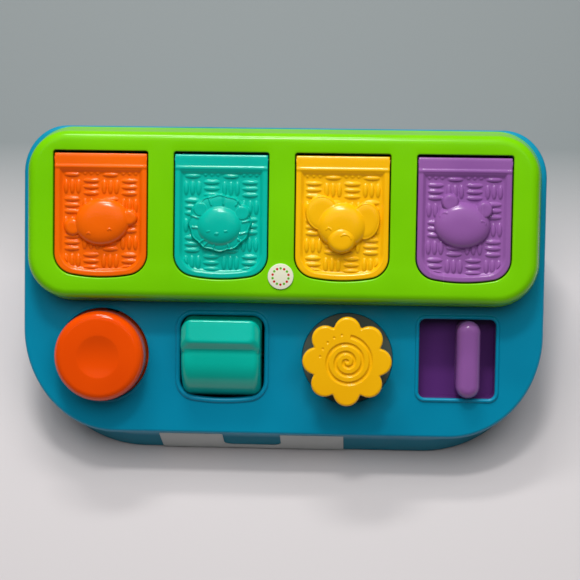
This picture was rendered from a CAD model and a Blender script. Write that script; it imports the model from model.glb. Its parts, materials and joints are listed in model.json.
"""Looks of the pop up animal toy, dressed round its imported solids.

Shapes are worked out in the deck frame, in millimetres: u across, v up the slope from the deck's
front edge, w square out of the deck. on_deck() carries them to world metres.
"""

import json
import math

import bmesh
import bpy
import numpy as np
from mathutils import Matrix, Vector
from mathutils.geometry import delaunay_2d_cdt


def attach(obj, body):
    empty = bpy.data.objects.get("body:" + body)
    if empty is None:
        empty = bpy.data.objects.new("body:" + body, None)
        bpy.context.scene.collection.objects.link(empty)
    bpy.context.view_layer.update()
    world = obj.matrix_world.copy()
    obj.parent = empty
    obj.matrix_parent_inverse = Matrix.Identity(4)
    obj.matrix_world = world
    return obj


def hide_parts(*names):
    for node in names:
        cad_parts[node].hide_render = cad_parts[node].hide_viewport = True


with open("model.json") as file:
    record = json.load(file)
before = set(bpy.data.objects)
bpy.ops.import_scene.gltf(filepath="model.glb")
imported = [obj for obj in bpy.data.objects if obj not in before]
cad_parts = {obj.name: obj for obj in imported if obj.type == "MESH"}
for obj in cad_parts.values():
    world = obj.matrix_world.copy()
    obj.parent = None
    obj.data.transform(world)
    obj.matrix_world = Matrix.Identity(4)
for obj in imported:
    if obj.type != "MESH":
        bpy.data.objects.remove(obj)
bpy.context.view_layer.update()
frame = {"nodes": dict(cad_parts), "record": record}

MM = 0.001
TILT = math.radians(26.0)
SIN, COS = math.sin(TILT), math.cos(TILT)
DECK_WIDTH, DECK_LENGTH = 290.0, 171.5
FRONT_Y = (0.4 - DECK_LENGTH * COS) / 2
FRONT_Z = 30.0
DECK_UNDERSIDE = -3.0
DECK_CORNER, WALL_CORNER, REAR_CORNER = 52.0, 66.0, 24.0
BEZEL_TOP = 20.5
PITCH = 65.85
LID_PLACES = [-1.5 * PITCH, -0.5 * PITCH, 0.5 * PITCH, 1.5 * PITCH]
ANIMALS = ["monkey", "lion", "elephant", "hippo"]
LID_HUES = ["orange", "teal", "yellow", "purple"]
HINGE_V, HINGE_W = 151.5, 16.7
LID_HALF, LID_FACE, LID_BACK = 25.25, 20.0, 17.0
PANEL_HALF, PANEL_CORNER, PANEL_BOW, PANEL_BOW_V = 20.55, 6.6, 84.6, 176.9
CONTROL_V = 43.1
BUTTON_U, ROCKER_U, FLOWER_U, SLIDER_U = -100.3, -33.1, 36.75, 97.7
AXLE_V, AXLE_W = 43.0, -9.5
ROCKER_HALF, ROCKER_RADIUS = 22.0, 23.0
HALVINGS = 34
WELD, SPECK = 2e-6, 1e-7


# Places.

def on_deck(points):
    """World metres of deck points: u stays across, v climbs the slope, w leaves it square."""
    u, v, w = np.moveaxis(np.asarray(points, float), -1, 0)
    return np.stack([u, FRONT_Y + v * COS - w * SIN, FRONT_Z + v * SIN + w * COS], -1) * MM


def off_deck(points):
    """Deck millimetres of world points in millimetres: the turn of on_deck() undone."""
    x, y, z = np.moveaxis(np.asarray(points, float), -1, 0)
    y, z = y - FRONT_Y, z - FRONT_Z
    return np.stack([x, y * COS + z * SIN, z * COS - y * SIN], -1)


# Outlines, profiles and patches. A patch is (points, faces) with points in deck millimetres.

def rays(turn):
    """Unit directions at given angles, from across towards up the slope."""
    return np.stack([np.cos(turn), np.sin(turn)], -1)


def round_rays(count):
    """Unit directions spread evenly round a whole turn."""
    return rays(np.linspace(0.0, 2 * math.pi, count, endpoint=False))


def raised(flat, height):
    """Flat points given a height: one for all, or one for each."""
    return np.concatenate([flat, np.broadcast_to(height, len(flat))[:, None]], -1)


def outline(half, low, high, low_corner, high_corner, bow=None, across=0.0,
            counts=(20, 10, 14, 8, 16)):
    """Points and outward normals round a rounded oblong, from the left end of its low edge.

    Eight stretches in turn, each a line cut by equal lengths or an arc cut by equal turns: low
    edge (an arc of radius bow where that is given), corner, side, corner, high edge and back.
    """
    swing = 0.0 if bow is None else math.asin((half - low_corner) / (bow - low_corner))
    side_low = low + low_corner
    if bow is not None:
        side_low = low + bow - (bow - low_corner) * math.cos(swing)
    quarter = math.pi / 2
    low_n, corner_n, side_n, top_corner_n, top_n = counts
    points, normals = [], []

    def arc(centre, radius, start, end, count):
        ray = rays(np.linspace(start, end, count, endpoint=False))
        points.append(np.array(centre) + radius * ray)
        normals.append(ray)

    def line(start, end, normal, count):
        share = np.linspace(0.0, 1.0, count, endpoint=False)[:, None]
        points.append(np.array(start) * (1 - share) + np.array(end) * share)
        normals.append(np.tile(normal, (count, 1)))

    near, far = half - low_corner, half - high_corner
    if bow is None:
        line((-near, low), (near, low), (0.0, -1.0), low_n)
    else:
        arc((0.0, low + bow), bow, -quarter - swing, swing - quarter, low_n)
    arc((near, side_low), low_corner, swing - quarter, 0.0, corner_n)
    line((half, side_low), (half, high - high_corner), (1.0, 0.0), side_n)
    arc((far, high - high_corner), high_corner, 0.0, quarter, top_corner_n)
    line((far, high), (-far, high), (0.0, 1.0), top_n)
    arc((-far, high - high_corner), high_corner, quarter, 2 * quarter, top_corner_n)
    line((-half, high - high_corner), (-half, side_low), (-1.0, 0.0), side_n)
    arc((-near, side_low), low_corner, 2 * quarter, 3 * quarter - swing, corner_n)
    path = np.concatenate(points) + np.array([across, 0.0])
    return path, np.concatenate(normals)


def circle(middle, radius, count):
    """Points and outward normals round a circle."""
    ray = round_rays(count)
    return np.array(middle) + radius * ray, ray


def grid_faces(rows, columns, closed):
    """Quads of a grid of points; a closed grid joins its last column to its first."""
    row, column = np.meshgrid(np.arange(rows - 1), np.arange(columns - (not closed)),
                              indexing="ij")
    after = (column + 1) % columns
    corners = [row * columns + column, row * columns + after,
               (row + 1) * columns + after, (row + 1) * columns + column]
    return np.stack(corners, -1).reshape(-1, 4).tolist()


def sheet_of(grid, closed=True):
    """A grid of points as a patch."""
    rows, columns = grid.shape[:2]
    return grid.reshape(-1, 3), grid_faces(rows, columns, closed)


def capped_sheet(grid):
    """An open grid whose last row is its first, as a patch with both end columns faced."""
    points, faces = sheet_of(grid, False)
    rows, columns = grid.shape[:2]
    faces += [[row * columns + column for row in range(rows - 1)] for column in (0, columns - 1)]
    return points, faces


def profile_grid(path, normals, profile):
    """A profile carried round a path: row j lies profile[j][0] outside it, at profile[j][1]."""
    profile = np.asarray(profile, float)
    flat = path[None] + normals[None] * profile[:, None, :1]
    height = np.broadcast_to(profile[:, None, 1:], (*flat.shape[:2], 1))
    return np.concatenate([flat, height], -1)


def carried(path, normals, profile):
    """The patch of a profile carried round a closed path."""
    return sheet_of(profile_grid(path, normals, profile))


def bend(centre, radius, start, end, count):
    """Profile points along an arc, with its angles in degrees from straight outside."""
    return np.array(centre) + radius * rays(np.radians(np.linspace(start, end, count)))


def encloses(loop, points):
    """True where a loop is round a point: a ray to its right crosses the loop an odd number of
    times."""
    start, end = loop, np.roll(loop, -1, 0)
    x, y = points[:, :1], points[:, 1:]
    spans = (start[:, 1] > y) != (end[:, 1] > y)
    rise = np.where(end[:, 1] == start[:, 1], 1.0, end[:, 1] - start[:, 1])
    cross = start[:, 0] + (y - start[:, 1]) * (end[:, 0] - start[:, 0]) / rise
    return (spans & (x < cross)).sum(1) % 2 == 1


def plate(rim, holes, height):
    """A level plate between a rim and its holes, cut into triangles that use their points."""
    loops = [rim, *holes]
    ends = np.cumsum([len(loop) for loop in loops])
    edges = []
    for loop, end in zip(loops, ends):
        index = np.arange(end - len(loop), end)
        edges += np.stack([index, np.roll(index, -1)], -1).tolist()
    corners = [Vector(point) for point in np.concatenate(loops)]
    closest = 1e-5
    made = delaunay_2d_cdt(corners, edges, [], 0, closest)
    flat = np.array([point[:] for point in made[0]])
    faces = np.array(made[2])
    middles = flat[faces].mean(1)
    keep = encloses(rim, middles)
    for hole in holes:
        keep &= ~encloses(hole, middles)
    return raised(flat, height), faces[keep].tolist()


def fan(loop_points):
    """A closed end: every edge of a loop joined to the loop's middle."""
    count = len(loop_points)
    points = np.concatenate([loop_points, loop_points.mean(0)[None]])
    index = np.arange(count)
    return points, np.stack([index, np.roll(index, -1), np.full(count, count)], -1).tolist()


def block(path, normals, profile):
    """A solid: a profile carried round a path, with its first and last rows closed."""
    skin = carried(path, normals, profile)
    count = len(path)
    return [skin, fan(skin[0][:count]), fan(skin[0][-count:])]


def bar(low, high, soft):
    """A straight bar between two corners, with its edges rounded."""
    path, normals = outline((high[0] - low[0]) / 2, low[1], high[1], soft, soft,
                            across=(low[0] + high[0]) / 2, counts=(2, 4, 2, 4, 2))
    return block(path, normals, [(-soft, low[2]), *bend((-soft, low[2] + soft), soft, -90, 0, 4),
                                 *bend((-soft, high[2] - soft), soft, 0, 90, 4)])


def added(name, data):
    """A new object in the scene."""
    made = bpy.data.objects.new(name, data)
    bpy.context.scene.collection.objects.link(made)
    return made


def piece(name, patches, body, finish, stands_for=(), sharp=38.0, uv=None):
    """A finished piece: its patches welded, faced outwards, shaded and put on its body."""
    points, faces, start = [], [], 0
    for patch_points, patch_faces in patches:
        points.append(patch_points)
        faces += [[index + start for index in face] for face in patch_faces]
        start += len(patch_points)
    points = np.concatenate(points)
    mesh = bpy.data.meshes.new(name)
    mesh.from_pydata(on_deck(points).tolist(), [], faces)
    if uv is not None:
        layer = mesh.uv_layers.new(name="flat")
        corners = np.zeros(len(mesh.loops), np.int32)
        mesh.loops.foreach_get("vertex_index", corners)
        layer.data.foreach_set("uv", uv(points)[corners].astype(np.float32).ravel())
    work = bmesh.new()
    work.from_mesh(mesh)
    bmesh.ops.remove_doubles(work, verts=work.verts, dist=WELD)
    bmesh.ops.dissolve_degenerate(work, edges=work.edges, dist=SPECK)
    bmesh.ops.recalc_face_normals(work, faces=work.faces)
    work.to_mesh(mesh)
    work.free()
    mesh.shade_smooth()
    mesh.set_sharp_from_angle(angle=math.radians(sharp))
    mesh.materials.append(FINISHES[finish])
    made = added(name, mesh)
    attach(made, body)
    if stands_for:
        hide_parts(*stands_for)


def between(value, low, high):
    """0 below low, 1 above high, and an even S between."""
    share = np.clip((value - low) / (high - low), 0.0, 1.0)
    return share * share * (3 - 2 * share)


def rounded_meet(one, other, radius):
    """Distance to the corner of two faces given by their distances, rounded by a radius."""
    a, b = one + radius, other + radius
    return (np.minimum(np.maximum(a, b), 0.0)
            + np.hypot(np.maximum(a, 0.0), np.maximum(b, 0.0)) - radius)


def soft_join(one, other, radius):
    """The lesser of two distances, blended where they are within a radius of each other."""
    share = np.maximum(radius - np.abs(one - other), 0.0) / radius
    return np.minimum(one, other) - share * share * radius / 4


def swell(gap, width):
    """1 at no gap, falling along a half ellipse to 0 at a width."""
    return np.sqrt(np.clip(1 - (gap / width) ** 2, 0.0, 1.0))


def reach_where(out_at, like, far):
    """How far rays stay inside a shape, halved down to from far outside it."""
    low, high = np.zeros_like(like), np.full_like(like, far)
    for _ in range(HALVINGS):
        reach = (low + high) / 2
        out = out_at(reach)
        low, high = np.where(out, low, reach), np.where(out, reach, high)
    return low


# Finishes.

def hue(red, green, blue):
    """A colour written in the 0 to 255 of a colour chart, as linear light."""
    parts = np.array([red, green, blue]) / 255.0
    linear = np.where(parts <= 0.04045, parts / 12.92, ((parts + 0.055) / 1.055) ** 2.4)
    return (*[float(part) for part in linear], 1.0)


def fill(tree, sockets, values):
    """Sets sockets, by name or place, to constants or to what other nodes put out."""
    for label, value in values.items():
        if isinstance(value, bpy.types.NodeSocket):
            tree.links.new(value, sockets[label])
        else:
            sockets[label].default_value = value


def node(tree, kind, values, **settings):
    """The outputs of a new shader node, its settings made and then its inputs filled."""
    made = tree.nodes.new("ShaderNode" + kind)
    for label, value in settings.items():
        setattr(made, label, value)
    fill(tree, made.inputs, values)
    return made.outputs


def noise(tree, vector, scale, detail, name):
    """A noise texture read at a vector."""
    values = {"Scale": scale, "Detail": detail, "Vector": vector}
    return node(tree, "TexNoise", values, name=name)["Fac"]


def span_map(tree, value, low, high, to_low=0.0, to_high=1.0):
    """Maps a value's range onto another, 0 to 1 unless it is given."""
    return node(tree, "MapRange", {"Value": value, "From Min": low, "From Max": high,
                                   "To Min": to_low, "To Max": to_high})["Result"]


def reckon(tree, kind, *terms):
    """A Math node of one or two values or sockets."""
    return node(tree, "Math", dict(enumerate(terms)), operation=kind)["Value"]


def mixed(tree, share, one, other):
    """One colour blended into another by a share."""
    values = {"Factor": share, "A": one, "B": other}
    return node(tree, "Mix", values, data_type="RGBA")["Result"]


def axes(tree, vector):
    """The X, Y and Z of a vector."""
    split = node(tree, "SeparateXYZ", {"Vector": vector})
    return [split[axis] for axis in "XYZ"]


def new_group(name, inputs, outputs):
    """An empty shader node group: its tree, and the sockets it is given and makes."""
    tree = bpy.data.node_groups.new(name, "ShaderNodeTree")
    for label, kind, value in inputs:
        socket = tree.interface.new_socket(label, in_out="INPUT", socket_type="NodeSocket" + kind)
        if value is not None:
            socket.default_value = value
    for label, kind in outputs:
        tree.interface.new_socket(label, in_out="OUTPUT", socket_type="NodeSocket" + kind)
    given = tree.nodes.new("NodeGroupInput").outputs
    return tree, given, tree.nodes.new("NodeGroupOutput").inputs


def make_moulding():
    """Moulded plastic: slow drift of the pigment, cloudy gloss, and a fine orange-peel height."""
    tree, given, made = new_group("moulded_skin", [
        ("Vector", "Vector", None), ("Pigment", "Color", None), ("Deep Pigment", "Color", None),
        ("Gloss", "Float", 0.2), ("Cloud", "Float", 0.06), ("Patch Size", "Float", 18.0),
    ], [("Colour", "Color"), ("Roughness", "Float"), ("Height", "Float")])
    vector = given["Vector"]
    patches = span_map(tree, noise(tree, vector, given["Patch Size"], 2.0, "patches"), 0.3, 0.75)
    haze = reckon(tree, "SUBTRACT", noise(tree, vector, 160.0, 3.0, "haze"), 0.5)
    swing = reckon(tree, "MULTIPLY", haze, given["Cloud"])
    fill(tree, made, {"Colour": mixed(tree, patches, given["Pigment"], given["Deep Pigment"]),
                      "Roughness": reckon(tree, "ADD", given["Gloss"], swing),
                      "Height": noise(tree, vector, 900.0, 2.0, "orange_peel")})
    return tree


def make_handling():
    """Light wear of small hands: sparse hairline scuffs as a mask."""
    tree, given, made = new_group(
        "handling_scuffs", [("Vector", "Vector", None), ("Amount", "Float", 0.5)],
        [("Mask", "Float")])
    vector, lines = given["Vector"], []
    for turn, size in ((0.5, 260.0), (2.1, 340.0)):
        turned = node(tree, "Mapping", {"Rotation": (0.4, turn, turn),
                                        "Scale": (1.0, 0.05, 0.05), "Vector": vector})["Vector"]
        lines.append(span_map(tree, noise(tree, turned, size, 1.0, "strands"), 0.70, 0.76))
    places = span_map(tree, noise(tree, vector, 30.0, 1.0, "places"), 0.50, 0.68)
    placed = reckon(tree, "MULTIPLY", reckon(tree, "MAXIMUM", *lines), places)
    fill(tree, made, {"Mask": reckon(tree, "MULTIPLY", placed, given["Amount"])})
    return tree


MOULDING = make_moulding()
HANDLING = make_handling()


def new_material(name):
    """A material, its tree, its shader's inputs, and the place on the object as a vector."""
    material = bpy.data.materials.new(name)
    material.use_nodes = True
    tree = material.node_tree
    where = node(tree, "TexCoord", {})["Object"]
    return material, tree, tree.nodes["Principled BSDF"].inputs, where


def plastic(name, pigment, deep, gloss=0.2, cloud=0.06, peel=0.03, scuffs=0.25, specular=0.5):
    """A moulded plastic finish: pigment drift, cloudy gloss, orange peel and hairline scuffs."""
    material, tree, shader, where = new_material(name)
    skin = node(tree, "Group", {"Vector": where, "Pigment": pigment, "Deep Pigment": deep,
                                "Gloss": gloss, "Cloud": cloud}, node_tree=MOULDING)
    marks = node(tree, "Group", {"Vector": where, "Amount": scuffs}, node_tree=HANDLING)
    scuff_roughness, peel_metres, index = 0.35, 0.0005, 1.5
    scuffed = reckon(tree, "MULTIPLY", marks["Mask"], scuff_roughness)
    bump = node(tree, "Bump", {"Strength": peel, "Distance": peel_metres,
                               "Height": skin["Height"]})
    fill(tree, shader, {"Base Color": skin["Colour"], "IOR": index, "Normal": bump["Normal"],
                        "Roughness": reckon(tree, "ADD", skin["Roughness"], scuffed),
                        "Specular IOR Level": specular})
    return material


def housing_plastic():
    """The housing's plastic, matte and deeper at its front foot; the foot's bounds are metres."""
    material = plastic("blue_housing_plastic", hue(2, 140, 174), hue(1, 130, 164), gloss=0.34,
                       cloud=0.04, scuffs=0.15)
    tree = material.node_tree
    shader = tree.nodes["Principled BSDF"].inputs
    _, y, z = axes(tree, node(tree, "TexCoord", {})["Object"])
    above = span_map(tree, z, 0.022, 0.028)
    behind = span_map(tree, y, -0.068, -0.015)
    clear = reckon(tree, "MAXIMUM", above, behind)
    pigment = shader["Base Color"].links[0].from_socket
    fill(tree, shader, {"Specular IOR Level": span_map(tree, clear, 0.0, 1.0, 0.04, 0.32),
                        "Base Color": mixed(tree, clear, hue(1, 118, 142), pigment)})
    return material


def metal(name, tone, rough):
    """Spring wire and turned steel: fine mottling in tone and gloss."""
    material, tree, shader, where = new_material(name)
    deep = (*[part * 0.8 for part in tone[:3]], 1.0)
    skin = node(tree, "Group", {"Vector": where, "Pigment": tone, "Deep Pigment": deep,
                                "Gloss": rough, "Cloud": 0.15, "Patch Size": 220.0},
                node_tree=MOULDING)
    fill(tree, shader, {"Base Color": skin["Colour"], "Roughness": skin["Roughness"],
                        "Metallic": 1.0})
    return material


def dotted_badge(ground, one, other):
    """Cream film with a ring of small dots in two colours, placed by the badge's own map.

    The map is turned to polar form: the dots stand evenly on the ring, and their colours change
    over by turns.
    """
    dots, ring, dot_radius, blur = 14, 4.4, 0.62, 0.1
    material = plastic("cream_badge_film", ground, ground, gloss=0.3)
    tree = material.node_tree
    shader = tree.nodes["Principled BSDF"].inputs
    x, y, _ = axes(tree, node(tree, "UVMap", {}, uv_map="flat")["UV"])

    def length(*sides):
        squares = [reckon(tree, "MULTIPLY", side, side) for side in sides]
        return reckon(tree, "POWER", reckon(tree, "ADD", *squares), 0.5)

    turn = reckon(tree, "MULTIPLY", reckon(tree, "ARCTAN2", y, x), dots / (2 * math.pi))
    within = reckon(tree, "SUBTRACT", reckon(tree, "FRACT", turn), 0.5)
    beside = reckon(tree, "MULTIPLY", within, ring * 2 * math.pi / dots)
    off = reckon(tree, "SUBTRACT", length(x, y), ring)
    dot = span_map(tree, length(off, beside), dot_radius, dot_radius + blur, 1.0, 0.0)
    turns = reckon(tree, "FRACT", reckon(tree, "MULTIPLY", turn, 0.5))
    ink = mixed(tree, reckon(tree, "GREATER_THAN", turns, 0.5), one, other)
    bare = shader["Base Color"].links[0].from_socket
    fill(tree, shader, {"Base Color": mixed(tree, dot, bare, ink)})
    return material


FINISHES = {
    "blue": housing_plastic(),
    "green": plastic("green_bezel_plastic", hue(119, 202, 4), hue(108, 191, 1), specular=0.3),
    "orange": plastic("orange_plastic", hue(244, 104, 2), hue(234, 93, 1)),
    "button": plastic("orange_button_plastic", hue(238, 79, 2), hue(226, 71, 1), gloss=0.13,
                      specular=0.35),
    "teal": plastic("teal_plastic", hue(3, 184, 164), hue(2, 172, 152)),
    "yellow": plastic("yellow_plastic", hue(246, 184, 8), hue(238, 171, 3)),
    "purple": plastic("purple_plastic", hue(146, 92, 160), hue(134, 82, 150)),
    "dark_purple": plastic("dark_purple_plastic", hue(104, 54, 132), hue(96, 48, 122)),
    "grey": plastic("grey_plastic", hue(84, 94, 86), hue(76, 85, 79), gloss=0.35),
    "label": plastic("white_label_film", hue(188, 191, 189), hue(182, 186, 184), gloss=0.5,
                     specular=0.3),
    "badge": dotted_badge(hue(226, 224, 200), hue(196, 26, 22), hue(96, 176, 20)),
    "steel": metal("spring_steel", hue(196, 198, 200), 0.28),
    "pins": metal("dull_pin_steel", hue(44, 45, 48), 0.6),
    "marks": plastic("black_eye_paint", hue(26, 24, 26), hue(20, 19, 21), gloss=0.15),
    "rubber": plastic("dark_rubber", hue(44, 44, 46), hue(36, 36, 38), gloss=0.7, peel=0.2,
                      specular=0.3),
}


# Housing.

def plan_path(inset, corner):
    """The housing's outline in plan, in world millimetres, and its outward normals."""
    rear = FRONT_Y + DECK_LENGTH * COS
    return outline(DECK_WIDTH / 2 - inset, FRONT_Y + inset, rear - inset, corner - inset,
                   REAR_CORNER - inset, counts=(40, 26, 30, 14, 60))


def under_deck(path, drop):
    """A plan path raised to the deck's plane, lowered by a drop square to it."""
    return raised(path, FRONT_Z + (path[:, 1] - FRONT_Y) * SIN / COS - drop / COS)


def wall_rows(inset, low):
    """Upright wall rows, from low up to the deck's underside."""
    path, _ = plan_path(inset, WALL_CORNER)
    return [raised(path, low), under_deck(path, -DECK_UNDERSIDE)]


def deck_edge_rows(soft):
    """Rows up the deck plate's edge: its lower corner, then the eased upper one.

    The easing's centre lies at soft / (1 + edge normal . deck normal) along both normals inside
    the corner line, and its rows turn evenly from the edge's normal to the deck's.
    """
    path, flat = plan_path(0.0, DECK_CORNER)
    edge_normal = raised(flat, 0.0)
    deck_normal = np.array([0.0, -SIN, COS])
    along = edge_normal @ deck_normal
    centre = under_deck(path, 0.0) - soft * (edge_normal + deck_normal) / (1 + along)[:, None]
    angle = np.arccos(along)[:, None]
    rows = [under_deck(path, -DECK_UNDERSIDE)]
    for share in np.linspace(0.0, 1.0, 8):
        ray = (np.sin((1 - share) * angle) * edge_normal
               + np.sin(share * angle) * deck_normal) / np.sin(angle)
        rows.append(centre + soft * ray)
    return rows


def rocker_path():
    """The rocker's opening."""
    return outline(half=23.5, low=19.4, high=65.9, low_corner=9.0, high_corner=7.0, bow=110.0,
                   across=ROCKER_U)


def slider_path():
    """The slider's opening."""
    return outline(half=21.1, low=21.8, high=65.9, low_corner=3.5, high_corner=3.5,
                   across=SLIDER_U)


def well_path(index, step):
    """A window's outline, moved outwards by a step."""
    return outline(half=25.95 + step, low=86.9 - step, high=156.2 + step,
                   low_corner=12.0 + step, high_corner=1.5 + step, bow=90.0 + step,
                   across=LID_PLACES[index], counts=(30, 10, 14, 5, 16))


def rim_profile(width, height, floor):
    """A raised rim: out of the deck, over a half ellipse, and down the opening's wall.

    The ellipse is (reach (1 + cos a), height sin a), with its reach half of the rim's width.
    """
    reach = width / 2
    turns = np.radians(np.linspace(10.0, 165.0, 15))
    over = np.stack([reach * (1 + np.cos(turns)), height * np.sin(turns)], -1)
    return [(width + 0.7, 0.0), (width + 0.2, 0.06), *over.tolist(), (0.0, 0.1), (0.0, floor)]


def make_housing():
    """Deck, walls and raised rims: an outer and an inner skin joined at the foot and openings."""
    foot, outer_inset, inner_inset = 2.0, 0.12, 2.6
    outer = off_deck(np.stack([*wall_rows(outer_inset, foot), *deck_edge_rows(1.8)]))
    inner = off_deck(np.stack(wall_rows(inner_inset, foot)))
    openings = [
        (*circle((BUTTON_U, CONTROL_V), 25.8, 120),
         [(2.0, 0.0), (1.6, 0.12), (1.25, 0.42), (0.9, 0.6), (0.5, 0.6), (0.15, 0.4),
          (0.0, 0.05)]),
        (*rocker_path(), rim_profile(2.7, 1.2, DECK_UNDERSIDE)),
        (*slider_path(), [*rim_profile(2.2, 1.1, -1.0), (1.4, -1.0)]),
        (*circle((FLOWER_U, CONTROL_V), 25.3, 120),
         [(0.5, 0.0), (0.15, -0.12), (0.0, -0.45), (0.0, -1.7), (-20.2, -1.7)]),
    ]
    openings += [(*well_path(index, 0.5), [(0.0, 0.0)]) for index in range(4)]
    openings += [(*outline(half=4.3, low=77.2, high=82.8, low_corner=0.3, high_corner=0.3,
                           across=across, counts=[2] * 5), [(0.0, 0.0)])
                 for across in LID_PLACES]
    patches = [sheet_of(outer), sheet_of(inner), sheet_of(np.stack([outer[0], inner[0]]))]
    top_holes, low_holes = [], []
    for path, normals, profile in openings:
        first, last = profile[0][0], profile[-1][0]
        patches.append(carried(path, normals, [*profile, (last, DECK_UNDERSIDE)]))
        top_holes.append(path + normals * first)
        low_holes.append(path + normals * last)
    patches.append(plate(outer[-1][:, :2], top_holes, 0.0))
    patches.append(plate(inner[-1][:, :2], low_holes, DECK_UNDERSIDE))
    piece("housing_shell", patches, "housing", "blue", ["top_housing"])
    thick, high, low = 1.25, -1.02, -14.7
    lining = [(0.0, high), (thick, high), (thick, low), (0.0, low), (0.0, high)]
    piece("slider_lining_skin", [carried(*slider_path(), lining)], "housing", "dark_purple",
          ["slider_lining"])


# Bezel.

def make_bezel():
    """The bezel: leaning wall, round shoulder, and a top whose four windows have eased edges."""
    lean_degrees, soft, ease = 9.0, 5.4, 0.75
    wall, roof, sleeve = 2.5, 18.0, 2.0
    lean = math.radians(lean_degrees)
    back = BEZEL_TOP * math.tan(lean)
    meet = 1 + math.sin(lean)
    centre = (-back - soft * math.cos(lean) / meet, BEZEL_TOP - soft * (math.sin(lean) + 1) / meet)
    shoulder = bend(centre, soft, lean_degrees, 90.0, 12)
    path, normals = outline(half=141.8, low=73.1, high=169.6, low_corner=25.0,
                            high_corner=25.0, counts=(60, 22, 16, 22, 60))
    roof_step = -wall - roof * math.tan(lean)
    patches = [carried(path, normals, [(0.15, 0.0), (-0.05, 0.5), *shoulder]),
               carried(path, normals, [(roof_step, roof), (-wall, 0.0), (0.15, 0.0)])]
    holes, roof_holes = [], []
    for index in range(4):
        window, out = well_path(index, 0.0)
        edge = bend((ease, BEZEL_TOP - ease), ease, 90, 180, 6)
        patches.append(carried(window, out, [*edge, (0.0, 0.0), (sleeve, 0.0), (sleeve, roof)]))
        holes.append(window + out * ease)
        roof_holes.append(window + out * sleeve)
    patches.append(plate(path + normals * shoulder[-1][0], holes, BEZEL_TOP))
    patches.append(plate(path + normals * roof_step, roof_holes, roof))
    piece("bezel_shell", patches, "housing", "green", ["bezel"])


def make_badge():
    """A flat round badge with an eased rim; its own map is its face in millimetres."""
    middle = np.array([0.0, 89.3])
    radius, thick, ease = 7.0, 0.5, 0.3
    rows = [(0.0, BEZEL_TOP - 0.05), *bend((-ease, BEZEL_TOP + thick), ease, 0, 90, 5)]
    piece("badge_disc", block(*circle(middle, radius, 72), rows), "housing", "badge", ["badge"],
          uv=lambda points: points[:, :2] - middle)


# Lids, with u counted from the lid's own middle.

def weave(u, v, parity):
    """Height of the woven grains, 0 to 1.

    The panel is a chequer of cells. Each holds three spindles side by side, which lie across or
    along by turns; a spindle's half breadth and its height follow an ellipse along it.
    """
    cell_u, cell_v, low, pitch = 10.47, 10.1, 90.95, 3.4
    half_across, half_along, half_breadth = 4.3, 3.75, 1.36
    column = np.floor(u / cell_u)
    row = np.floor((v - low) / cell_v)
    a = u - (column + 0.5) * cell_u
    b = v - low - (row + 0.5) * cell_v
    across = (column + row + parity) % 2 == 0
    beside = np.where(across, b, a)
    lane = np.clip(np.round(beside / pitch), -1, 1)
    taper = swell(np.where(across, a, b), np.where(across, half_across, half_along))
    return taper * swell(beside - lane * pitch, half_breadth * taper + 1e-6)


def dome(u, v, at, half, rise, turn, steep):
    """Height of a dome over an ellipse: rise times the root of 1 less a power of the distance."""
    angle = math.radians(turn)
    x = (u - at[0]) * math.cos(angle) + (v - at[1]) * math.sin(angle)
    y = (v - at[1]) * math.cos(angle) - (u - at[0]) * math.sin(angle)
    far = (np.hypot(x / half[0], y / half[1])) ** steep
    return np.where(far < 1, rise * np.sqrt(np.clip(1 - far, 0, 1)), -1.0)


def ears(u, v, rise, dish, *places):
    """Round ears: domes with flat crowns that are dished inside their rolled rims."""
    lumps, inner = [], 0.72
    for at, half in places:
        hollow = dome(u, v, at, (half[0] * inner, half[1] * inner), 1.0, 0.0, 3.0)
        lumps.append(dome(u, v, at, half, rise, 0.0, 5.0) - dish * np.clip(hollow, 0, 1))
    return np.maximum(*lumps)


def stroke(u, v, start, end, width):
    """1 on the line between two points, falling to 0 at its width."""
    start, end = np.array(start), np.array(end)
    run = end - start
    share = np.clip(((u - start[0]) * run[0] + (v - start[1]) * run[1]) / (run @ run), 0, 1)
    gap = np.hypot(u - start[0] - share * run[0], v - start[1] - share * run[1])
    return swell(gap, width)


def curl(u, v, middle, radius, start, end, width):
    """1 on an arc between two angles in degrees, falling to 0 at its width."""
    angle = np.degrees(np.arctan2(v - middle[1], u - middle[0]))
    angle = np.where(angle < start - 90, angle + 360, angle)
    held = np.radians(np.clip(angle, start, end))
    gap = np.hypot(u - middle[0] - radius * np.cos(held), v - middle[1] - radius * np.sin(held))
    return swell(gap, width)


def monkey_face(u, v):
    """Broad low head, tipped to the right, between two flat round ears."""
    head = dome(u, v, (0.8, 117.2), (15.3, 12.9), 5.2, 9.0, 3.0)
    face = head + 0.28 * curl(u, v, (-6.0, 110.6), 0.9, 20, 160, 0.5)
    face = face + 0.28 * curl(u, v, (5.6, 112.9), 0.9, 30, 165, 0.5)
    return np.maximum(face, ears(u, v, 2.5, 0.0, ((-15.1, 114.4), (4.7, 4.8)),
                                 ((15.5, 119.9), (4.7, 4.6))))


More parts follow.
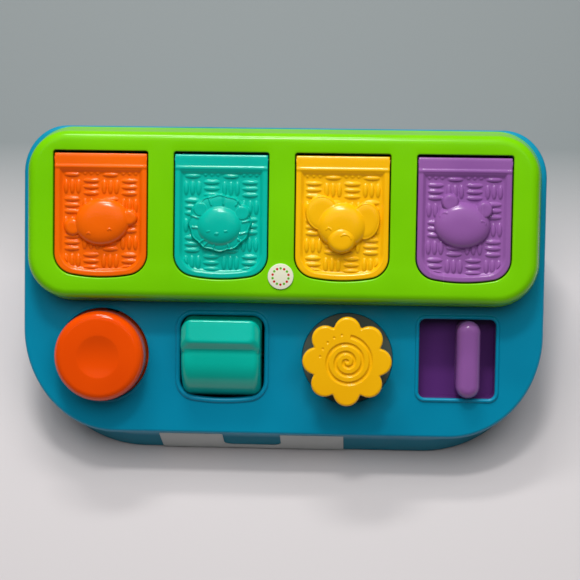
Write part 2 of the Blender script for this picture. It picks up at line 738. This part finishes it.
def lion_face(u, v):
    """Round face and ears on a flat mane that raised lines part into locks."""
    up, side = (v - 117.7) / 15.7, (u + 0.6) / 17.2
    far = np.hypot(up, side) / (1 + 0.02 * np.cos(12 * np.arctan2(up, side)))
    mane = np.where(far < 1, 2.8 * np.sqrt(np.clip(1 - far ** 12, 0, 1)), -1.0)
    mane = mane + 0.9 * np.clip(1 - np.abs(far - 0.95) / 0.035, 0, 1) * (far < 1)
    for start, end in (((9.9, 131.0), (8.2, 127.4)), ((1.1, 133.0), (1.4, 128.0)),
                       ((-15.6, 115.3), (-10.8, 115.0)), ((-13.4, 105.6), (-8.2, 109.4)),
                       ((13.4, 106.6), (9.6, 109.0)), ((16.2, 113.4), (10.6, 111.9)),
                       ((-7.0, 132.4), (-5.2, 127.6)), ((-16.8, 121.8), (-12.0, 120.4)),
                       ((-4.6, 102.4), (-3.2, 106.4)), ((5.2, 102.3), (4.2, 106.2)),
                       ((16.2, 119.4), (11.8, 118.4)), ((-10.6, 103.6), (-7.0, 107.4))):
        mane = mane + 0.6 * stroke(u, v, start, end, 0.6)
    face = dome(u, v, (-0.8, 116.1), (13.1, 11.5), 5.5, 3.0, 3.2)
    face = face + 0.3 * stroke(u, v, (-7.2, 113.1), (-6.0, 113.4), 0.5)
    face = face + 0.3 * stroke(u, v, (2.4, 113.3), (3.7, 113.5), 0.5)
    face = face + 0.35 * stroke(u, v, (-2.5, 112.0), (-1.5, 112.0), 0.8)
    tufts = ears(u, v, 3.7, 0.45, ((-11.0, 125.1), (4.4, 4.4)), ((11.7, 123.3), (4.4, 4.4)))
    return np.maximum(np.maximum(mane, tufts), face)


def elephant_face(u, v):
    """Dome between two large flat rimmed ears, with the curled trunk's end as a round boss."""
    flaps = []
    for at, half, turn in (((-10.9, 123.8), (9.0, 9.8), 12.0), ((12.6, 119.9), (7.9, 10.3), -8.0)):
        rim_line = dome(u, v, at, half, 1.0, turn, 3.0)
        flaps.append(dome(u, v, at, half, 2.6, turn, 7.0)
                     + 0.5 * between(0.58 - np.clip(rim_line, 0, 1), 0.0, 0.12))
    face = dome(u, v, (-0.1, 117.0), (13.7, 12.6), 5.2, 0.0, 3.4)
    trunk = dome(u, v, (-0.2, 109.4), (8.0, 7.4), 6.0, 0.0, 6.0)
    curve = 0.3 * curl(u, v, (1.8, 109.4), 3.3, 15, 130, 0.5)
    eyelid = 0.25 * curl(u, v, (-7.2, 114.7), 1.3, 20, 160, 0.5)
    return np.maximum(np.maximum(*flaps), np.maximum(face + eyelid, trunk + curve))


def hippo_face(u, v):
    """Wide smooth dome with two flat-crowned ears standing over it and a small brow each side."""
    face = dome(u, v, (-1.1, 118.3), (15.2, 12.6), 5.4, -4.0, 3.0)
    brows = 0.4 * curl(u, v, (-11.0, 123.0), 2.4, 60, 170, 0.7)
    brows = brows + 0.3 * curl(u, v, (9.6, 119.2), 1.7, 0, 110, 0.5)
    return np.maximum(face + brows, ears(u, v, 3.8, 0.3, ((-7.8, 130.6), (4.8, 5.0)),
                                         ((10.6, 126.8), (4.6, 4.8))))


FACE_OF = {"monkey": monkey_face, "lion": lion_face, "elephant": elephant_face,
           "hippo": hippo_face}
WEAVE_TURN = {"monkey": 1, "lion": 1, "elephant": 0, "hippo": 0}


def lid_height(u, v, edge, animal):
    """Height of a lid's upper face.

    From the face's level it falls by a rounded edge at the rim. A low ridge crosses it in front
    of the hinge. Within the frame it drops by two even S slopes, the higher of which stands, to
    the panel, which carries the weave or the animal, whichever is higher.
    """
    sunk, ease = 1.6, 0.8
    ridge_v, ridge_half, ridge_height, grain_height = 147.5, 1.0, 0.45, 0.95
    slope_width, step_low, step_high, bow_end, well_inside = 2.5, 143.3, 146.7, 150.0, -50.0
    bow = np.where(v > bow_end, well_inside, np.hypot(u, v - PANEL_BOW_V) - PANEL_BOW)
    frame_side = rounded_meet(np.abs(u) - PANEL_HALF, bow, PANEL_CORNER)
    raise_by = np.maximum(between(frame_side, 0.0, slope_width), between(v, step_low, step_high))
    height = LID_FACE - sunk + sunk * raise_by + ridge_height * swell(v - ridge_v, ridge_half)
    floor = 1 - raise_by
    grain = grain_height * weave(u, v, WEAVE_TURN[animal]) * between(floor, 0.75, 1.0)
    relief = np.maximum(np.maximum(FACE_OF[animal](u, v), 0), grain)
    height = height + np.where(floor > 0.02, relief, 0.0)
    short = np.clip(ease - edge, 0, ease)
    return height - (ease - np.sqrt(np.clip(ease ** 2 - short ** 2, 0, None)))


def make_lid(index, animal):
    """A lid: its face on rings that shrink to its middle, its sides, back, barrel and catch."""
    across = LID_PLACES[index]
    counts = (96, 26, 84, 5, 76)
    rim, _ = outline(half=LID_HALF, low=87.6, high=154.8, low_corner=11.3, high_corner=0.5,
                     bow=89.3, counts=counts)
    panel, _ = outline(half=PANEL_HALF, low=92.3, high=143.4, low_corner=PANEL_CORNER,
                       high_corner=1.2, bow=PANEL_BOW, counts=counts)
    first = np.array([0.0, 0.012, 0.035, 0.07, 0.115])
    share = np.concatenate([first, np.linspace(0.16, 1.0, 26)])[:, None, None]
    frame_rings = rim[None] * (1 - share) + panel[None] * share
    middle = np.array([0.0, 117.6])
    shrink = np.linspace(1.0, 0.012, 92)[1:, None, None]
    inner_rings = middle + (panel[None] - middle) * shrink
    flat = np.concatenate([frame_rings, inner_rings])
    frame_width, far_in = 4.7, 9.0
    edge = np.concatenate([np.broadcast_to(share * frame_width, (*frame_rings.shape[:2], 1)),
                           np.full((*inner_rings.shape[:2], 1), far_in)])[..., 0]
    height = lid_height(flat[..., 0], flat[..., 1], edge, animal)
    face = np.concatenate([flat, height[..., None]], -1)
    foot = face[:1].copy()
    foot[..., 2] = np.minimum(LID_BACK, foot[..., 2])
    face = np.concatenate([foot, face])
    face[..., 0] += across
    patches = [sheet_of(face), fan(face[-1]), fan(face[0])]
    spring_half, pin_bore, spring_bore = 5.5, 1.55, 2.62
    for start, end in ((-LID_HALF, -spring_half), (spring_half, LID_HALF)):
        patches.append(hinge_tube(across + start, across + end, 0.0, 360.0, pin_bore))
    patches.append(hinge_tube(across - spring_half, across + spring_half, 5.0, 175.0,
                              spring_bore))
    catch = ((-5.0, -3.75, 6.0, 17.5), (3.75, 5.0, 6.0, 17.5), (-4.6, 4.6, 6.0, 6.7),
             (-4.6, 4.6, 10.3, 17.5))
    for left, right, low, high in catch:
        patches += bar((across + left, 89.5, low), (across + right, 92.0, high), 0.3)
    patches += block(*circle((across, 131.0), 5.0, 40),
                     [(0.0, 14.0), (0.0, 16.6), (0.5, 17.05)])
    piece(f"lid_{animal}_shell", patches, f"lid_{index + 1}", LID_HUES[index],
          [f"lid_{animal}"], sharp=50.0)


def bead(middle, half):
    """An ellipsoid: its half sizes times the points of a unit ball, from pole to pole along w."""
    rows, columns = 9, 20
    fall, turn = np.meshgrid(np.linspace(0.0, math.pi, rows),
                             np.linspace(0.0, 2 * math.pi, columns, endpoint=False),
                             indexing="ij")
    ball = np.stack([np.sin(fall) * np.cos(turn), np.sin(fall) * np.sin(turn), np.cos(fall)], -1)
    return sheet_of(np.array(middle) + ball * np.array(half))


# Painted marks on a figure's head, from its middle: across, towards its crown, and out of its
# face, then the half sizes in the same order. A mark off the middle has a twin.
MARKS = {
    "monkey": [((4.4, 3.4, 9.0), (1.3, 1.7, 0.9)), ((1.9, -1.8, 11.2), (0.6, 0.8, 0.6))],
    "lion": [((4.8, 3.2, 9.0), (1.3, 1.7, 0.9)), ((0.0, -1.2, 10.8), (1.9, 1.2, 0.9))],
    "elephant": [((4.6, 2.6, 9.3), (1.2, 1.6, 0.8))],
    "hippo": [((4.4, 4.9, 8.5), (1.3, 1.6, 0.9)), ((3.9, -0.9, 11.0), (0.9, 1.1, 0.7))],
}


def make_marks(index, animal):
    """The figure's eyes, and its nose or nostrils."""
    head_v, head_w = 111.0, 4.0
    beads = []
    for (across, up, out), half in MARKS[animal]:
        for side in (1, -1) if across else (1,):
            middle = (LID_PLACES[index] + side * across, head_v - up, head_w - out)
            beads.append(bead(middle, half))
    piece(f"figure_{animal}_marks", beads, f"lid_{index + 1}", "marks")


def hinge_tube(start, end, low, high, bore):
    """A hinge barrel: a ring, or a part of one between two angles, carried along the hinge."""
    whole, outer = high - low == 360.0, 3.24
    turn = np.radians(np.linspace(low, high, 40, endpoint=not whole))
    rows = [(start, bore), (start, outer), (end, outer), (end, bore), (start, bore)]
    grid = np.stack([np.stack([np.full(len(turn), along), HINGE_V + radius * np.cos(turn),
                               HINGE_W + radius * np.sin(turn)], -1) for along, radius in rows])
    return sheet_of(grid) if whole else capped_sheet(grid)


# Controls.

def make_button():
    """The push button: a profile turned about its axis, and a skirt with a gap for the latch."""
    dish_radius, dish_depth, top = 11.6, 1.5, 17.2
    wall, bore, roof, flange = 25.0, 22.4, 12.4, 27.3
    ball = (dish_radius ** 2 + dish_depth ** 2) / (2 * dish_depth)
    reach = np.linspace(0.02, dish_radius - 0.9, 12)
    dish = np.stack([reach, top - dish_depth + ball - np.sqrt(ball ** 2 - reach ** 2)], -1)
    lip = [(11.2, 17.06), (11.5, 17.15), (11.9, top), (13.0, top)]
    crown = [(share, top - 0.2 * ((share - 13.0) / 7.0) ** 2) for share in (15.0, 17.0, 19.0)]
    shoulder = bend((20.0, top - 5.2), 5.0, 90, 0, 22)
    rows = [(0.02, roof), *dish, *lip, *crown, *shoulder, (wall, 0.0), (bore, 0.0), (bore, roof),
            (0.02, roof)]
    centre = np.array([BUTTON_U, CONTROL_V])
    gap_turn, gap_half = 78.0, 8.0
    ring = rays(np.radians(np.linspace(gap_turn + gap_half - 360.0, gap_turn - gap_half, 120)))
    skirt = [(wall, 0.0), (wall, -3.4), (flange, -3.4), (flange, -5.6), (bore, -5.6),
             (bore, 0.0), (wall, 0.0)]
    patches = [carried(centre, round_rays(144), rows),
               capped_sheet(profile_grid(centre, ring, skirt)),
               *bar((-104.3, 39.1, -13.0), (-96.3, 44.0, 12.5), 0.4)]
    piece("button_cap", patches, "button", "button", ["push_button"])


def rocker_distance(u, v, w):
    """Distance to the rocker: its round-ended drum blended with its ridge.

    The ridge's top leans 9 degrees back, and broad bevels fall from it at its front and ends.
    """
    lean, half_root = math.radians(9.0), 0.7071
    along = np.abs(u - ROCKER_U) - ROCKER_HALF
    drum = rounded_meet(np.hypot(v - AXLE_V, w - AXLE_W) - ROCKER_RADIUS, along, 4.5)
    over, behind = w - 18.0, v - 52.0
    top = over * math.cos(lean) + behind * math.sin(lean)
    front = ((52.4 - v) + over) * half_root
    ends = ((along + 4.0) + over + behind * math.tan(lean)) * half_root
    plan = np.where(v > 55.4, rounded_meet(v - 64.3, along, 6.5),
                    rounded_meet(46.0 - v, along, 3.0))
    ridge = rounded_meet(rounded_meet(plan, top, 1.0), rounded_meet(front, ends, 2.5), 1.0)
    return soft_join(drum, ridge, 2.0)


def make_rocker():
    """The rocker: found along rays from its axle, station by station along it.

    Inside it is a drum 2.4 smaller, and a rim joins both where a chord 9.7 from the axle cuts
    them open.
    """
    hollow_half, hollow_radius = 19.6, 20.6

    def along_rays(u, turn, reach):
        return u, AXLE_V + reach * np.cos(turn), AXLE_W + reach * np.sin(turn)

    stations = ROCKER_U + ROCKER_HALF * np.sin(np.linspace(-math.pi / 2, math.pi / 2, 81))
    turns = np.concatenate([np.linspace(184.9, 100.0, 60), np.linspace(99.5, 44.0, 150),
                            np.linspace(43.0, -44.9, 60)])
    u, turn = np.meshgrid(stations, np.radians(turns), indexing="ij")
    far = reach_where(lambda reach: rocker_distance(*along_rays(u, turn, reach)) > 0, u, 40.0)
    skins = [np.stack(along_rays(u, turn, far), -1)]
    u, turn = np.meshgrid(ROCKER_U + (stations - ROCKER_U) * hollow_half / ROCKER_HALF,
                          np.radians(np.linspace(188.1, -48.1, 60)), indexing="ij")
    skins.append(np.stack(along_rays(u, turn, hollow_radius), -1))
    patches = []
    for skin in skins:
        patches += [sheet_of(skin, False), fan(skin[0]), fan(skin[-1])]
    rims = [np.concatenate([skin[:, 0], skin[::-1, -1]]) for skin in skins]
    patches.append(sheet_of(np.stack(rims)))
    piece("rocker_shell", patches, "rocker", "teal", ["rocker_paddle"], sharp=60.0)


def petal_reach(turn):
    """How far the flower's edge is from its middle: eight petals blended into a round core."""
    petal_at, petal_radius, core = 17.1, 7.35, 18.0
    step = math.pi / 4
    off = (turn - math.pi / 2 + step / 2) % step - step / 2

    def out_at(reach):
        x, y = reach * np.cos(off), reach * np.sin(off)
        petal = np.hypot(x - petal_at, y) - petal_radius
        beside = np.hypot(x - petal_at * math.cos(step), np.abs(y) - petal_at * math.sin(step))
        petals = soft_join(petal, beside - petal_radius, 1.6)
        return soft_join(petals, np.hypot(x, y) - core, 0.8) > 0

    return reach_where(out_at, off, 30.0)


def spiral_groove(x, y):
    """Depth share of the spiral groove: three turns that wind in clockwise from its outer end."""
    first, outer, pitch = math.radians(83.0), 14.0, 4.5
    half_width, turns, limit = 1.15, 3.02, 16.0
    turned = (first - np.arctan2(y, x)) / (2 * math.pi) % 1.0
    depth = np.zeros_like(x)
    for whole in range(4):
        wound = np.clip(turned + whole, 0.0, turns)
        angle = first - wound * 2 * math.pi
        line = outer - pitch * wound
        gap = np.hypot(x - line * np.cos(angle), y - line * np.sin(angle))
        depth = np.maximum(depth, np.clip(1 - (gap / half_width) ** 2, 0, 1))
    return between(depth, 0.0, 1.0) * (np.hypot(x, y) < limit)


def make_flower():
    """The flower: rings from its stem over the petals' edges to its middle, with its groove."""
    top, low_soft, soft, stem = 19.2, 1.2, 1.5, 9.0
    groove_depth, dot_ring, dot_radius, dot_depth, first_dot, dot_step = (
        0.85, 14.9, 0.9, 0.4, 101.5, 17.0)
    centre = np.array([FLOWER_U, CONTROL_V])
    turn = np.linspace(0.0, 2 * math.pi, 480, endpoint=False)
    ray = rays(turn)
    edge = petal_reach(turn)
    rows = [raised(centre + ray * stem, height) for height in (-0.35, 12.0)]
    for radius, level, turns in ((low_soft, 13.2, np.linspace(-90, 0, 6)),
                                 (soft, top - soft, np.linspace(0, 90, 12)[1:])):
        for angle in np.radians(turns):
            inset = radius * (1 - np.cos(angle))
            rows.append(raised(centre + ray * (edge - inset)[:, None],
                               level + radius * np.sin(angle)))
    dots = [dot_ring * rays(math.radians(first_dot + number * dot_step)) for number in range(5)]
    for share in np.linspace(1.0, 0.0, 84)[1:-1]:
        flat = ray * ((edge - soft) * share)[:, None]
        height = top - groove_depth * spiral_groove(flat[:, 0], flat[:, 1])
        for dot in dots:
            gap = np.hypot(*(flat - dot).T)
            height = height - dot_depth * between(1 - gap / dot_radius, 0.0, 0.8)
        rows.append(raised(centre + flat, height))
    grid = np.stack(rows)
    piece("flower_cap", [sheet_of(grid), fan(grid[-1]), fan(grid[0])], "flower", "yellow",
          ["flower_knob"], sharp=50.0)


def make_slider():
    """The slider's knob: a long round bar whose top is rounded over and slightly crowned."""
    path, normals = outline(half=6.6, low=22.4, high=65.3, low_corner=6.59, high_corner=6.59,
                            across=103.6, counts=(2, 18, 40, 18, 2))
    rows = [(0.0, -15.0), *bend((-5.2, 3.2), 5.2, 0, 84, 16), (-5.7, 8.43), (-6.2, 8.46)]
    piece("slider_bar", block(path, normals, rows), "slider", "purple", ["slider_knob"],
          sharp=60.0)


make_housing()
make_bezel()
make_badge()
for lid_index, lid_animal in enumerate(ANIMALS):
    make_lid(lid_index, lid_animal)
    make_marks(lid_index, lid_animal)
make_button()
make_rocker()
make_flower()
make_slider()

slot_of = {row["node"]: row["material_slot"] for row in frame["record"]["subparts"]}
for node_name, node_object in frame["nodes"].items():
    node_object.data.materials.clear()
    hidden_pin = node_name.startswith("hinge_pin") or node_name == "rocker_axle"
    node_object.data.materials.append(FINISHES["pins" if hidden_pin else slot_of[node_name]])


# Floor, lights and camera.

def make_floor():
    """A wide pale floor whose tone deepens slowly towards the rear."""
    half, corner = 3000.0, 400.0
    path, _ = outline(half, -half, half, corner, corner, counts=(8, 6, 8, 6, 8))
    points, faces = fan(raised(path, 0.0))
    mesh = bpy.data.meshes.new("floor")
    mesh.from_pydata((points * MM).tolist(), [], faces)
    material, tree, shader, where = new_material("pale_floor_paper")
    depth = span_map(tree, axes(tree, where)[1], 0.03, 0.12)
    tone = mixed(tree, depth, hue(206, 201, 202), hue(126, 132, 133))
    fill(tree, shader, {"Base Color": tone, "Roughness": 0.7})
    mesh.materials.append(material)
    made = added("floor", mesh)


def make_lamp(name, at, width, depth, watts, tint, glossy):
    """A soft area lamp that faces the toy; one that isn't glossy makes no highlights."""
    lamp = bpy.data.lights.new(name, "AREA")
    lamp.shape = "RECTANGLE"
    lamp.size, lamp.size_y = width, depth
    lamp.energy = watts
    lamp.color = tint
    made = added(name, lamp)
    made.visible_glossy = glossy
    made.location = at
    aim = Vector((0.0, 0.0, 0.05)) - Vector(at)
    made.rotation_euler = aim.to_track_quat("-Z", "Y").to_euler()


def make_world():
    """Even, faint room light."""
    world = bpy.data.worlds.new("room")
    bpy.context.scene.world = world
    world.use_nodes = True
    tree = world.node_tree
    fill(tree, tree.nodes["Background"].inputs,
         {"Color": (1.0, 1.0, 1.0, 1.0), "Strength": 0.05})


def make_camera():
    """The camera, placed square over the deck and a little to its right."""
    turn, lift, roll = math.radians(2.52), math.radians(-3.76), math.radians(0.80)
    out = np.array([math.sin(turn) * math.cos(lift), -math.sin(lift),
                    math.cos(turn) * math.cos(lift)])
    right = np.cross([0.0, 1.0, 0.0], out)
    right /= np.linalg.norm(right)
    up = np.cross(out, right)
    right, up = (math.cos(roll) * right + math.sin(roll) * up,
                 math.cos(roll) * up - math.sin(roll) * right)
    place = on_deck((41.6, 136.4, 847.2))
    turned = [(on_deck(axis) - on_deck((0.0, 0.0, 0.0))) / MM for axis in (right, up, out)]
    rows = np.column_stack([*turned, place]).tolist()
    camera = bpy.data.cameras.new("camera")
    camera.lens, camera.sensor_width = 94.8, 36.0
    camera.clip_start = 0.05
    made = added("camera", camera)
    made.matrix_world = Matrix([*rows, (0.0, 0.0, 0.0, 1.0)])
    bpy.context.scene.camera = made


WARM, COOL = (1.0, 0.99, 0.97), (0.98, 0.99, 1.0)
make_floor()
make_lamp("rear_softbox", (-0.15, 0.8, 0.95), 0.42, 0.1, 5.0, WARM, True)
make_lamp("near_softbox", (-0.05, 0.53, 1.3), 0.26, 0.1, 5.6, WARM, True)
make_lamp("overhead_diffuser", (0.0, 0.26, 1.35), 1.8, 1.4, 19.0, COOL, False)
make_world()
make_camera()
bpy.context.scene.view_settings.view_transform = "Standard"
